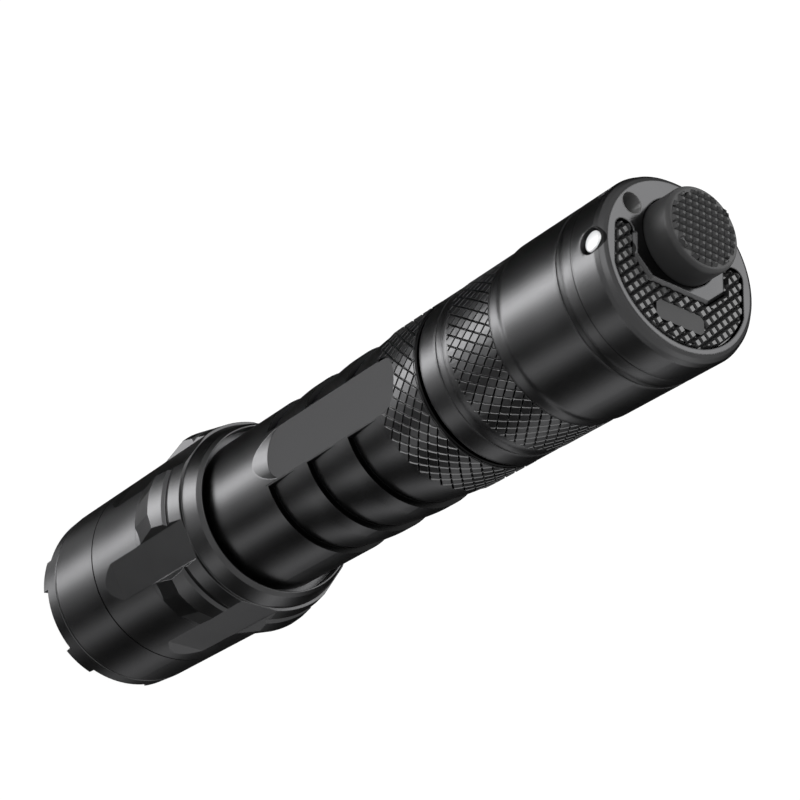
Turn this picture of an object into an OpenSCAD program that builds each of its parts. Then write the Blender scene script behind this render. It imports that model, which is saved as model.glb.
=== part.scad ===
// Tactical flashlight standing on its bezel: +Z runs from the bezel teeth to the tail button.
// Lengths are in millimetres. One of the two side flats faces -Y.

/* [Bezel] */
// Radius of the plain head cylinder and of the bezel ring
head_r = 15.3; // [13:0.1:18]
// Length of the bezel ring, from its tooth tips to the joint with the head
bezel_len = 17; // [14:0.5:22]
// Number of bezel teeth, which is also the number of head lobes
lobes = 6; // [4:1:8]
// Height of a bezel tooth
tooth_h = 1.5; // [0.5:0.1:3]
// Width of a bezel tooth in degrees
tooth_deg = 20; // [10:1:28]
// Length of the slight taper at the front of the bezel
bezel_taper_len = 4.4; // [2:0.1:6]
// How much the radius drops over that taper
bezel_taper = 0.25; // [0:0.05:0.6]
// Depth of the fine line behind the front taper
bezel_line = 0.1; // [0.05:0.05:0.2]
// Depth from the tooth tips to the front face of the lens
lens_depth = 4.2; // [3:0.1:6]
// Width of the lip that holds the lens
lens_lip = 1.1; // [0.6:0.1:1.6]
// Wall of the bezel ring round its screwed bore
bezel_wall = 1.05; // [0.8:0.05:1.5]
// Width of the hairline joint between the bezel and the head
bezel_joint = 0.15; // [0.05:0.05:0.4]
// Length of the screwed overlap of the bezel on the head
bezel_screw_len = 6; // [4:0.5:8]

/* [Optics] */
// Thickness of the front lens
lens_t = 2; // [1:0.1:3]
// Cord thickness of the lens seal
seal_t = 1; // [0.6:0.1:1.6]
// Distance of the emitter's shelf behind the head's front edge
shelf_at = 7.85; // [5:0.05:10]
// Radius of the reflector's small end
reflector_hole_r = 3.3; // [2.8:0.1:4]
// Wall of the reflector
reflector_wall = 1; // [0.6:0.1:1.6]
// Thickness of the centring ring under the reflector
centring_t = 1.8; // [1.2:0.1:3]
// Thickness of the emitter board
led_board_t = 1.6; // [1:0.1:2.4]
// Radius of the emitter board
led_board_r = 10; // [8.6:0.1:11]
// Side of the square emitter package
emitter_side = 4.2; // [3:0.1:4.4]
// Thickness of the emitter package
emitter_t = 0.7; // [0.4:0.1:1]
// Radius of the emitter's dome
dome_r = 1.7; // [1.2:0.1:2]
// Distance of the board screws and leads from the axis
board_screw_at = 7; // [6:0.1:7.6]

/* [Head] */
// Length of the plain head cylinder
head_cyl_len = 13.95; // [10:0.05:20]
// Height of the lobes over the head cylinder
lobe_h = 1.35; // [0.6:0.05:1.6]
// Length of the ramp up to the lobes
ramp_len = 6.3; // [3:0.1:8]
// Length of the first cooling ridge
ridge1_len = 3.1; // [2:0.1:4]
// Length of the cooling groove
fin_gap = 1.5; // [0.8:0.1:2]
// Depth of the cooling groove under the first ridge
fin_depth = 0.55; // [0.3:0.05:1]
// Length of the second cooling ridge
ridge2_len = 2.55; // [2:0.05:4]
// How much the ridges draw in from the top of the ramp to the collar
ridge_fall = 1.35; // [0.8:0.05:2]
// Length of the collar behind the ridges
collar_len = 2.8; // [2:0.05:4]
// Length of the collar's rear chamfer
collar_chamfer = 0.8; // [0.5:0.1:1.5]
// How far the rear edge of the collar stands out over the body
collar_over = 1.7; // [1.5:0.05:2.5]
// Width of the six milled flats
flat_w = 6.3; // [3:0.1:7]
// How far a flat lies under the head cylinder
flat_depth = 0.32; // [0.1:0.01:0.5]
// How far the flats run forward of the ramp
flat_run = 11.5; // [6:0.5:13]
// Turn of the lobes about the axis
head_turn = 24.5; // [0:0.5:60]
// Thickness of the shelf that carries the emitter board
shelf_t = 4; // [2.5:0.1:6]
// Room for the driver parts behind the shelf
driver_room = 4; // [3.4:0.1:6]
// Thickness of the driver board
driver_board_t = 1.4; // [0.8:0.1:2]
// Thickness of the driver retaining ring
driver_ring_t = 1.6; // [1:0.1:2.4]
// Depth of the dark recess in the collar round the neck
neck_recess = 2.35; // [1:0.05:3]

/* [Body] */
// Radius of the body's lands and neck
body_r = 12.3; // [11.8:0.05:12.8]
// Number of finger grooves
grooves = 3; // [1:1:3]
// Pitch of the finger grooves
groove_pitch = 10.17; // [9:0.01:11]
// Width of a finger groove
groove_w = 7.3; // [5:0.1:7.5]
// Depth of a finger groove
groove_depth = 0.8; // [0.3:0.05:1]
// Width of the knurled band
body_knurl_len = 8.9; // [6:0.1:12]
// Height of the knurl over the lands
body_knurl_h = 0.15; // [0.05:0.05:0.3]
// Depth of the knurls' grooves, whose floor is the band in the solids
knurl_depth = 0.2; // [0.1:0.05:0.3]
// Plain land between the last groove and the knurl
knurl_land = 0.64; // [0.6:0.01:3]
// Plain end of the body behind the knurl
body_end_len = 0.6; // [0.4:0.1:2]
// Depth of the side flats under the lands
side_cut = 0.65; // [0.3:0.05:0.8]
// Width of the edge that is left beside a side flat
side_edge = 0.2; // [0.2:0.1:1]
// Length of the side flats
side_flat_len = 32.8; // [24:0.1:36]
// How far a side flat starts behind the first groove wall
side_flat_start = 0.1; // [0:0.1:2]
// Length of the sloped run-out ahead of a side flat
runout_len = 3.3; // [2:0.1:4]
// Wall of the body tube at its lands
body_wall = 2.75; // [2.4:0.05:2.9]
// Step from the lands down to the screwed front end
front_screw_in = 0.7; // [0.5:0.05:1.3]
// Length of the screwed front end
front_screw_len = 9.6; // [7:0.1:10]
// Step from the lands down to the core of the screwed tail end
tail_screw_in = 1.6; // [1.4:0.05:1.7]
// Height of its thread, which the solid leaves off
thread_h = 0.3; // [0.2:0.05:0.4]
// Length of the screwed tail end
tail_screw_len = 10.5; // [9:0.1:12]
// Cord thickness of the two body seal rings
body_seal_t = 1.1; // [0.8:0.1:1.4]

/* [Cell] */
// Room around the cell in its bore
cell_clear = 0.25; // [0.15:0.05:0.5]
// Length of the cell without its positive contact
cell_len = 68.5; // [65:0.1:70]
// Height of the positive contact
nub_h = 1.1; // [0.6:0.1:1.6]
// Radius of the positive contact
nub_r = 3.6; // [2.5:0.1:4.5]
// Room between the driver board and the positive contact, which the head spring fills
head_spring_len = 9; // [6:0.1:12]
// How far the cell stands out of the tube's tail end
cell_proud = 1; // [0.4:0.1:2]

/* [Tail cap] */
// How far the clamping band stands out over the body, to fit a 25.4 mm ring
cap_over = 0.4; // [0.3:0.05:0.9]
// Gap between the body and the closed cap
cap_gap = 0.6; // [0.3:0.05:1]
// Length of the plain front band
cap_band_len = 3.8; // [2:0.1:5]
// Length of the shallow ring groove behind it
cap_step_len = 1.4; // [0.8:0.1:2]
// Length of the plain land before the knurl
cap_land_len = 1.2; // [0.6:0.1:2]
// Length of the cap's knurl
cap_knurl_len = 8.7; // [6:0.1:11]
// Drop of the knurled part under the smooth cap
cap_drop = 0.25; // [0.1:0.05:0.4]
// Length of the step up to the smooth cap
cap_step_up = 2.8; // [1.2:0.1:3.5]
// Length of the smooth clamping band
clamp_len = 11.1; // [8:0.1:16]
// Width of the ring groove behind the clamping band
tail_groove_w = 1; // [0.5:0.1:1.5]
// Depth of that ring groove
tail_groove_d = 0.12; // [0.05:0.01:0.3]
// Length of the tail end behind the ring groove
tail_len = 7.5; // [6.6:0.1:10]
// Distance of the hairline groove from the tail face
hairline_at = 5.7; // [4:0.1:6.5]
// Length of the rounded tail edge
tail_edge_len = 1.5; // [0.8:0.1:1.6]
// How much the tail edge draws in
tail_edge_in = 1.2; // [0.6:0.05:1.25]
// Thickness of the tail wall
tail_wall = 4.5; // [4.3:0.1:6]
// Clearance of the cap over the thread and the tail seal
screw_clear = 0.1; // [0.04:0.01:0.15]
// Turn of the cap about the axis
cap_turn_deg = -7; // [-30:0.5:30]

/* [Tail electronics] */
// Compressed length of the tail spring
tail_spring_len = 8; // [6:0.1:10]
// Coil radius of the contact springs
spring_r = 4.2; // [3:0.1:5]
// Wire radius of the contact springs
spring_wire_r = 0.45; // [0.3:0.05:0.6]
// Thickness of the switch board
switch_board_t = 1.2; // [0.8:0.1:1.6]
// Distance of the switch board's edge from the outside of the cap
switch_board_in = 2.4; // [2.2:0.05:2.5]
// Length of the tail retaining ring
tail_ring_len = 4; // [3:0.1:5]
// Height of the two switch bodies
switch_h = 3.6; // [3:0.1:4.5]

/* [Power button] */
// Radius of the button
button_r = 5.85; // [5:0.05:6.2]
// How far the button stands over the tail face
button_h = 4.9; // [3:0.1:7]
// Rounding of the button's top edge
button_round = 0.8; // [0.3:0.1:1.2]
// Distance of the button's edge from the outside of the cap
button_in = 3.4; // [3.25:0.05:3.85]
// Travel of the button
button_travel = 1.5; // [1:0.1:1.8]
// Side of the power switch
power_switch_side = 6; // [5:0.1:6.5]

/* [Mode paddle] */
// Distance of the paddle's pocket from the outside of the cap
pocket_edge = 1.8; // [1.7:0.05:2.1]
// Distance of the pocket's straight sides from the outside of the cap
pocket_side = 2.35; // [2.1:0.05:2.7]
// Distance of the arms' inner sides from the outside of the cap
arm_side = 5.3; // [4.9:0.05:5.5]
// Land between the button's well and the pocket's inner edge
pocket_land = 1; // [0.8:0.05:2]
// Width of the broken edge along the pocket's inner side
pocket_break = 0.4; // [0.2:0.05:0.5]
// Half length of that inner edge
pocket_in_half = 4.6; // [3:0.1:5]
// Where the slanting inner edges end
pocket_slant = 1; // [0:0.1:2]
// Where the arms' round ends are centred
arm_end = -1.75; // [-2.2:0.05:-1]
// Depth of the pocket
pocket_depth = 2.6; // [2.2:0.1:3]
// Thickness of the paddle
paddle_t = 1.7; // [1:0.1:2]
// Clearance round the paddle and the button
rubber_clear = 0.15; // [0.1:0.05:0.25]
// Travel of the paddle
paddle_travel = 0.7; // [0.3:0.1:0.8]
// Distance of the mode plunger from the outside of the cap
mode_in = 5.3; // [5.2:0.05:5.5]
// Radius of the mode plunger
mode_pin_r = 1.4; // [1:0.1:1.6]
// Side of the mode switch
mode_switch_side = 4; // [3.4:0.1:4.2]

/* [Tail details] */
// Radius of the lanyard hole
lanyard_r = 1.45; // [1:0.05:1.5]
// Distance of the lanyard hole from the outside of the cap
lanyard_in = 2.9; // [2.8:0.05:3.1]
// Angle of the lanyard hole from the paddle
lanyard_deg = -127.5; // [-132:0.5:-124]
// Depth of the lanyard hole
lanyard_depth = 3.6; // [3:0.1:4]
// Radius of its side hole
lanyard_side_r = 1.1; // [0.8:0.05:1.15]
// Radius of the indicator lens
indicator_r = 1.4; // [1:0.05:1.5]
// Depth of the indicator under the tail face
indicator_depth = 1.9; // [1.8:0.05:2.4]
// Angle of the indicator from the paddle
indicator_deg = -88; // [-92:0.5:-84]
// How far the indicator lens lies under the cap's skin
indicator_sunk = 0.15; // [0.1:0.05:0.4]

/* [Hidden] */
$fn = 96;
eps = 0.02;
seat = 0.05;
groove_wall = 0.12;
fit = 0.1;
// Stations along the axis
z_lens = lens_depth;
z_seal = z_lens + lens_t;
z_reflector = z_seal + seal_t;
z_head = bezel_len + bezel_joint;
z_shelf = z_head + shelf_at;
z_board = z_shelf - led_board_t;
z_centring = z_board - centring_t;
reflector_len = z_centring - z_reflector;
z_shelf_back = z_shelf + shelf_t;
z_driver = z_shelf_back + driver_room;
z_driver_back = z_driver + driver_board_t;
z_ring_back = z_driver_back + driver_ring_t;
z_ramp = z_head + head_cyl_len;
z_ridge1 = z_ramp + ramp_len;
z_fin = z_ridge1 + ridge1_len;
z_ridge2 = z_fin + fin_gap;
z_collar = z_ridge2 + ridge2_len;
z_collar_end = z_collar + collar_len;
z_head_end = z_collar_end + collar_chamfer;
z_neck = z_head_end - neck_recess;
z_tube = z_neck - front_screw_len;
z_nub = z_driver_back + head_spring_len;
z_cell = z_nub + nub_h;
z_cell_end = z_cell + cell_len;
z_tube_end = z_cell_end - cell_proud;
z_body_end = z_tube_end - tail_screw_len;
z_knurl_end = z_body_end - body_end_len;
z_knurl = z_knurl_end - body_knurl_len;
z_wall1 = z_knurl - knurl_land - groove_wall - groove_w - (grooves - 1) * groove_pitch;
z_cap = z_body_end + cap_gap;
z_cap_step = z_cap + cap_band_len;
z_cap_land = z_cap_step + cap_step_len;
z_cap_knurl = z_cap_land + cap_land_len;
z_cap_knurl_end = z_cap_knurl + cap_knurl_len;
z_clamp = z_cap_knurl_end + cap_step_up;
z_tail_groove = z_clamp + clamp_len;
z_tail_end = z_tail_groove + tail_groove_w;
z_tail = z_tail_end + tail_len;
z_tail_wall = z_tail - tail_wall;
z_tail_board = z_cell_end + tail_spring_len + 2 * fit;
z_tail_board_top = z_tail_board + switch_board_t;
z_switch_top = z_tail_board_top + switch_h;
z_pocket = z_tail - pocket_depth;
z_paddle = z_tail + 0.1 - paddle_t;
// Radii and widths that follow from others
bezel_bore_r = head_r - bezel_wall;
spigot_r = bezel_bore_r - seat;
spigot_wall = 1;
lens_r = spigot_r - 0.75;
bezel_open_r = lens_r - lens_lip;
reflector_r = lens_r - 0.1;
bowl_r = bezel_open_r - 0.1;
lobe_r = head_r + lobe_h;
front_bore_r = spigot_r - spigot_wall;
front_screw_r = body_r - front_screw_in;
tail_screw_r = body_r - tail_screw_in;
bore_r = body_r - body_wall;
cell_r = bore_r - cell_clear;
collar_r = body_r + collar_over;
driver_seat_r = front_screw_r - 2;
driver_r = front_screw_r - 1.4;
side_flat_d = body_r - side_cut;
side_half = sqrt(body_r * body_r - side_flat_d * side_flat_d);
side_z0 = z_wall1 + side_flat_start;
cap_r = body_r + cap_over;
switch_board_r = cap_r - switch_board_in;
button_at = cap_r - button_in - button_r;
pocket_r = cap_r - pocket_edge;
pocket_half = cap_r - pocket_side;
arm_half = cap_r - arm_side;
mode_at = cap_r - mode_in;
lanyard_at = cap_r - lanyard_in;
cap_skin_r = cap_r - cap_drop;
cap_screw_r = tail_screw_r + thread_h + screw_clear;
cavity_r = switch_board_r - 0.3;
well_r = button_r + rubber_clear;
pocket_in = well_r - button_at + pocket_land;
arm_r = (pocket_half - arm_half) / 2;
stem_r = 1.6;
power_pin_r = 2.9;
mode_stem_r = 1;
stem_sunk = 0.3;
pin_gap = 0.1;
z_stem_top = z_switch_top + button_travel + 0.4;

// A plain tube between two stations
module tube(ro, ri, z0, z1) {
  difference() {
    translate([0, 0, z0]) cylinder(r = ro, h = z1 - z0);
    translate([0, 0, z0 - 1]) cylinder(r = ri, h = z1 - z0 + 2);
  }
}

// A solid rod between two stations
module rod(r, z0, z1) {
  translate([0, 0, z0]) cylinder(r = r, h = z1 - z0);
}

// A seal ring whose cord is centred at a radius and a station
module cord_ring(r, t, z) {
  translate([0, 0, z]) rotate_extrude() translate([r, 0]) circle(r = t / 2, $fn = 32);
}

// A contact spring as one unbroken coil between two stations
module coil(r, wire, z0, z1, turns) {
  sides = 8;
  steps = 24 * turns;
  rise = z1 - z0 - 2 * wire;
  lead = atan(rise / (2 * PI * r * turns));
  pts = [
    for (i = [0 : steps])
      let (a = 360 * turns * i / steps, z = z0 + wire + rise * i / steps)
        for (k = [0 : sides - 1])
          let (b = 360 * k / sides, u = r + wire * cos(b), w = wire * sin(b))
            [
              u * cos(a) + w * sin(lead) * sin(a),
              u * sin(a) - w * sin(lead) * cos(a),
              z + w * cos(lead)
            ]
  ];
  faces = concat(
    [[for (k = [sides - 1 : -1 : 0]) k]],
    [for (i = [0 : steps - 1]) for (k = [0 : sides - 1])
      let (n = (k + 1) % sides)
        [i * sides + k, i * sides + n, (i + 1) * sides + n, (i + 1) * sides + k]],
    [[for (k = [0 : sides - 1]) steps * sides + k]]
  );
  // Least gap between neighbouring turns, measured square to the wire
  echo(least_gap = rise / turns * cos(lead) - 2 * wire);
  polyhedron(points = pts, faces = [for (f = faces) [for (j = [len(f) - 1 : -1 : 0]) f[j]]]);
}

module bezel_ring() {
  color([0.08, 0.08, 0.085])
  difference() {
    rotate_extrude()
      polygon([
        [bezel_open_r, 0], [head_r - bezel_taper, 0], [head_r, bezel_taper_len],
        [head_r - bezel_line, bezel_taper_len + bezel_line], [head_r, bezel_taper_len + 5 * bezel_line],
        [head_r, bezel_len], [bezel_bore_r, bezel_len],
        [bezel_bore_r, bezel_len - bezel_screw_len], [lens_r + seat, bezel_len - bezel_screw_len],
        [lens_r + seat, z_lens], [bezel_open_r, z_lens]
      ]);
    // Shallow gaps between the teeth
    for (i = [0 : lobes - 1])
      rotate([0, 0, head_turn + i * 360 / lobes])
        tooth_gap();
  }
}

// The wedge that is cut away between two teeth, from one tooth's middle to the next one's
module tooth_gap() {
  w = 360 / lobes - tooth_deg;
  rotate([0, 0, 180 / lobes - w / 2])
    translate([0, 0, -1])
      rotate_extrude(angle = w)
        polygon([
          [bezel_open_r - 1, 0], [head_r + 1, 0],
          [head_r + 1, tooth_h + 1], [bezel_open_r - 1, tooth_h + 1]
        ]);
}

module lens() {
  color([0.8, 0.9, 0.95, 0.35])
  rod(lens_r, z_lens, z_seal);
}

module lens_seal() {
  color([0.05, 0.05, 0.05])
  cord_ring(lens_r - seal_t, seal_t, z_seal + seal_t / 2);
}

// Radius of the bowl at a distance from its small end
function bowl(h) = sqrt(pow(reflector_hole_r, 2)
  + (pow(bowl_r, 2) - pow(reflector_hole_r, 2)) * h / reflector_len);

module reflector() {
  steps = 14;
  color([0.85, 0.86, 0.88])
  rotate_extrude()
    polygon(concat(
      [for (i = [0 : steps]) [bowl(i * reflector_len / steps), z_centring - i * reflector_len / steps]],
      [[reflector_r, z_reflector], [reflector_r, z_reflector + reflector_wall]],
      [for (i = [steps - 1 : -1 : 0])
        [bowl(i * reflector_len / steps) + reflector_wall, z_centring - i * reflector_len / steps]]
    ));
}

module centring_ring() {
  color([0.92, 0.92, 0.9])
  tube(reflector_hole_r + reflector_wall, emitter_side / 2 * sqrt(2) + fit, z_centring, z_board);
}

module emitter() {
  color([0.95, 0.85, 0.3])
  translate([-emitter_side / 2, -emitter_side / 2, z_board - emitter_t])
    cube([emitter_side, emitter_side, emitter_t]);
}

module emitter_dome() {
  color([0.95, 0.95, 0.8, 0.6])
  difference() {
    translate([0, 0, z_board - emitter_t]) sphere(r = dome_r, $fn = 48);
    translate([-5, -5, z_board - emitter_t]) cube([10, 10, 5]);
  }
}

screw_r = 1;
screw_head_r = 1.8;
screw_head_t = 1.1;
screw_len = 3.2;
lead_r = 0.6;

module emitter_board() {
  color([0.75, 0.45, 0.25])
  difference() {
    rod(led_board_r, z_board, z_shelf);
    for (s = [-1, 1]) {
      translate([s * board_screw_at, 0, 0]) rod(screw_r + fit, z_board - 1, z_shelf + 1);
      translate([0, s * board_screw_at, 0]) rod(lead_r + fit, z_board - 1, z_shelf + 1);
    }
  }
}

module board_screws() {
  color([0.6, 0.6, 0.62])
  for (s = [-1, 1])
    translate([s * board_screw_at, 0, 0]) {
      difference() {
        rod(screw_head_r, z_board - screw_head_t, z_board);
        translate([-0.3, -2, z_board - screw_head_t - 1]) cube([0.6, 4, 1.5]);
      }
      rod(screw_r, z_board - eps, z_shelf + screw_len);
    }
}

module leads() {
  color([0.7, 0.1, 0.1])
  for (s = [-1, 1])
    translate([0, s * board_screw_at, 0]) rod(lead_r, z_board - 0.5, z_driver);
}

// Radius of the ridges at a station
function ridge_r(z) = lobe_r - ridge_fall * (z - z_ridge1) / (z_collar - z_ridge1);
fin_wall = 0.3;

module head_body() {
  color([0.08, 0.08, 0.085])
  difference() {
    rotate_extrude()
      polygon([
        [front_bore_r, z_head - bezel_screw_len], [spigot_r, z_head - bezel_screw_len],
        [spigot_r, z_head], [head_r, z_head], [head_r, z_ramp], [lobe_r, z_ridge1],
        [ridge_r(z_fin), z_fin], [ridge_r(z_fin) - fin_depth, z_fin + fin_wall],
        [ridge_r(z_ridge2), z_ridge2], [ridge_r(z_collar), z_collar],
        [collar_r + 0.85, z_collar], [collar_r, z_collar_end],
        [collar_r - 0.5, z_head_end], [body_r + 1, z_head_end], [body_r + 1, z_neck],
        [front_screw_r + seat, z_neck], [front_screw_r + seat, z_ring_back],
        [driver_r + seat, z_ring_back], [driver_r + seat, z_driver],
        [driver_seat_r, z_driver], [driver_seat_r, z_shelf_back], [0, z_shelf_back],
        [0, z_shelf], [front_bore_r, z_shelf]
      ]);
    for (i = [0 : lobes - 1])
      rotate([0, 0, head_turn + (i + 0.5) * 360 / lobes])
        head_flat();
    for (i = [0 : lobes - 1])
      for (s = [-1, 1])
        rotate([0, 0, head_turn + i * 360 / lobes + s * facet_turn])
          ramp_facet();
    for (s = [-1, 1]) {
      translate([s * board_screw_at, 0, 0]) rod(screw_r + seat, z_shelf - 1, z_shelf + screw_len + 0.3);
      translate([0, s * board_screw_at, 0]) rod(lead_r + fit, z_shelf - 1, z_shelf_back + 1);
    }
  }
}

flat_half_deg = asin(flat_w / 2 / head_r);
facet_in = 1.4;
facet_half = 4.6;
lobe_mid_deg = 7;
facet_turn = 180 / lobes - flat_half_deg - facet_in;
flat_lead = 3;
flat_lean = 1;

// One milled flat with steep sides that runs out gently at its front end, cut from outside
module head_flat() {
  z0 = z_ramp - flat_run;
  z1 = z_collar + 0.5;
  d = head_r - flat_depth;
  h = 4;
  intersection() {
    translate([0, 0, z0 - 1.5 * h * flat_lead / flat_depth])
      linear_extrude(height = z1 - z0 + 1.5 * h * flat_lead / flat_depth)
        polygon([
          [d, -flat_w / 2], [d + h, -flat_w / 2 - flat_lean * h],
          [d + h, flat_w / 2 + flat_lean * h], [d, flat_w / 2]
        ]);
    rotate([90, 0, 0])
      linear_extrude(height = 4 * head_r, center = true)
        polygon([
          [d - 1, z0 + (1 + 1 / flat_depth) * flat_lead],
          [d + h, z0 + (1 - h / flat_depth) * flat_lead],
          [d + h, z1 + 1], [d - 1, z1 + 1]
        ]);
  }
}

// A planar facet that takes the corner off a lobe's ramp and leaves the head cylinder whole
module ramp_facet() {
  reach = cos(facet_turn - lobe_mid_deg);
  slope = atan(lobe_h * reach / ramp_len);
  difference() {
    translate([head_r * reach, 0, z_ramp])
      rotate([0, slope, 0])
        translate([0, -facet_half, -1])
          cube([4, 2 * facet_half, ramp_len + ridge1_len + 1]);
    rod(head_r + eps, z_ramp - 5, z_fin + 5);
  }
}

module driver_board() {
  color([0.1, 0.3, 0.15])
  rod(driver_r, z_driver, z_driver_back);
}

module driver_parts() {
  color([0.15, 0.15, 0.16])
  translate([0, 0, z_driver])
    scale(driver_r / 10.2) {
      translate([-2.6, -2.6, -3]) cube([5.2, 5.2, 3]);
      translate([4.4, -1.8, -1.2]) cube([2.6, 3.6, 1.2]);
      translate([-7.2, -1.5, -1]) cube([3, 3, 1]);
      translate([-5, 3.6, -1.5]) cube([2.4, 1.6, 1.5]);
      translate([3, -5.4, -1.5]) cube([2.4, 1.6, 1.5]);
    }
}

module driver_ring() {
  color([0.75, 0.62, 0.3])
  tube(driver_r, driver_r - 2, z_driver_back, z_ring_back);
}

module head_spring() {
  color([0.8, 0.65, 0.3])
  coil(nub_r - spring_wire_r - 0.3, spring_wire_r, z_driver_back, z_nub, 5);
}

z_head_seal = z_neck - 2;

module head_seal() {
  color([0.05, 0.05, 0.05])
  cord_ring(front_screw_r - body_seal_t / 2, body_seal_t, z_head_seal);
}

// Outline of one finger groove from its steep wall to the next land
function groove_line(z) = concat(
  [[body_r, z]],
  [for (k = [0 : groove_steps])
    [body_r - groove_depth * pow(1 - k / groove_steps, 1.5), z + groove_wall + groove_w * k / groove_steps]]
);
groove_steps = 10;

seal_cut = 0.1;

module body_tube() {
  knurl_r = body_r + body_knurl_h;
  color([0.08, 0.08, 0.085])
  difference() {
    union() {
      rotate_extrude()
        polygon(concat(
          [
            [bore_r, z_tube], [front_screw_r, z_tube],
            [front_screw_r, z_head_seal - body_seal_t / 2 - seal_cut],
            [front_screw_r - body_seal_t, z_head_seal - body_seal_t / 2 - seal_cut],
            [front_screw_r - body_seal_t, z_head_seal + body_seal_t / 2 + seal_cut],
            [front_screw_r, z_head_seal + body_seal_t / 2 + seal_cut],
            [front_screw_r, z_neck], [body_r, z_neck]
          ],
          [for (i = [0 : grooves - 1]) each groove_line(z_wall1 + i * groove_pitch)],
          [
            [body_r, z_knurl], [knurl_r - knurl_depth, z_knurl],
            [knurl_r - knurl_depth, z_knurl_end], [knurl_r - 0.05, z_knurl_end],
            [knurl_r - 0.05, z_body_end - 0.15], [knurl_r - 0.2, z_body_end],
            [tail_screw_r, z_body_end],
            [tail_screw_r, z_tail_seal - body_seal_t / 2 - seal_cut],
            [tail_seal_r - body_seal_t / 2, z_tail_seal - body_seal_t / 2 - seal_cut],
            [tail_seal_r - body_seal_t / 2, z_tail_seal + body_seal_t / 2 + seal_cut],
            [tail_screw_r, z_tail_seal + body_seal_t / 2 + seal_cut],
            [tail_screw_r, z_tube_end], [bore_r, z_tube_end]
          ]
        ));
      // Lands that carry the two side flats across the grooves
      for (a = [0, 180])
        rotate([0, 0, a])
          intersection() {
            tube(body_r, bore_r + 0.3, z_wall1 - 3, z_knurl);
            translate([-side_half - side_edge, -20, z_wall1 - 2])
              cube([2 * (side_half + side_edge), 20, z_knurl - z_wall1 + 1]);
          }
    }
    for (a = [0, 180])
      rotate([0, 0, a])
        side_flat();
  }
}

// One side flat with round ends and a conical run-out at its front end
module side_flat() {
  w = side_half + side_edge / 2;
  translate([-w, -side_flat_d - 5, side_z0 + w])
    cube([2 * w, 5, side_flat_len - 2 * w]);
  for (z = [side_z0 + w, side_z0 + side_flat_len - w])
    translate([0, -side_flat_d, z]) rotate([90, 0, 0]) cylinder(r = w, h = 5);
  translate([0, -side_flat_d - eps, side_z0 + w])
    rotate([90, 0, 0])
      cylinder(r1 = w - seat, r2 = w - seat + runout_len * (side_cut + 1) / side_cut, h = side_cut + 1);
}

module cell() {
  color([0.2, 0.45, 0.65])
  rod(cell_r, z_cell, z_cell_end);
}

module cell_contact() {
  color([0.8, 0.8, 0.78])
  rod(nub_r, z_nub, z_cell);
}

z_tail_seal = z_body_end + 2;
tail_seal_r = tail_screw_r + thread_h - body_seal_t / 2;

module tail_seal() {
  color([0.05, 0.05, 0.05])
  cord_ring(tail_seal_r, body_seal_t, z_tail_seal);
}

module tail_spring() {
  color([0.8, 0.65, 0.3])
  coil(spring_r, spring_wire_r, z_cell_end + fit, z_tail_board - fit, 5);
}

// The crescent outline of the mode paddle, drawn in by a clearance
module crescent(g, z0, z1) {
  h = z1 - z0;
  translate([0, 0, z0]) {
    intersection() {
      cylinder(r = pocket_r - g, h = h);
      difference() {
        translate([arm_end, -pocket_half + g, 0]) cube([20, 2 * (pocket_half - g), h]);
        translate([0, 0, -1])
          linear_extrude(height = h + 2)
            polygon([
              [-9, -arm_half - g], [pocket_slant + g * 0.4, -arm_half - g],
              [pocket_in + g, -pocket_in_half - g * 0.4], [pocket_in + g, pocket_in_half + g * 0.4],
              [pocket_slant + g * 0.4, arm_half + g], [-9, arm_half + g]
            ]);
      }
    }
    for (s = [-1, 1])
      translate([arm_end, s * (arm_half + arm_r), 0]) cylinder(r = arm_r - g, h = h);
  }
}

// The broken edge along the pocket's inner side, one prism for each straight stretch
module pocket_edges() {
  line = [
    [arm_end, -arm_half], [pocket_slant, -arm_half], [pocket_in, -pocket_in_half],
    [pocket_in, pocket_in_half], [pocket_slant, arm_half], [arm_end, arm_half]
  ];
  over = 0.3;
  for (i = [0 : len(line) - 2])
    let (run = line[i + 1] - line[i])
      translate([line[i].x, line[i].y, z_tail])
        rotate([90, 0, 90 + atan2(run.y, run.x)])
          translate([0, 0, -over])
            linear_extrude(height = norm(run) + 2 * over)
              polygon([[pocket_break + 1, 1], [-1, -pocket_break - 1], [-1, 1]]);
}

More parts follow.
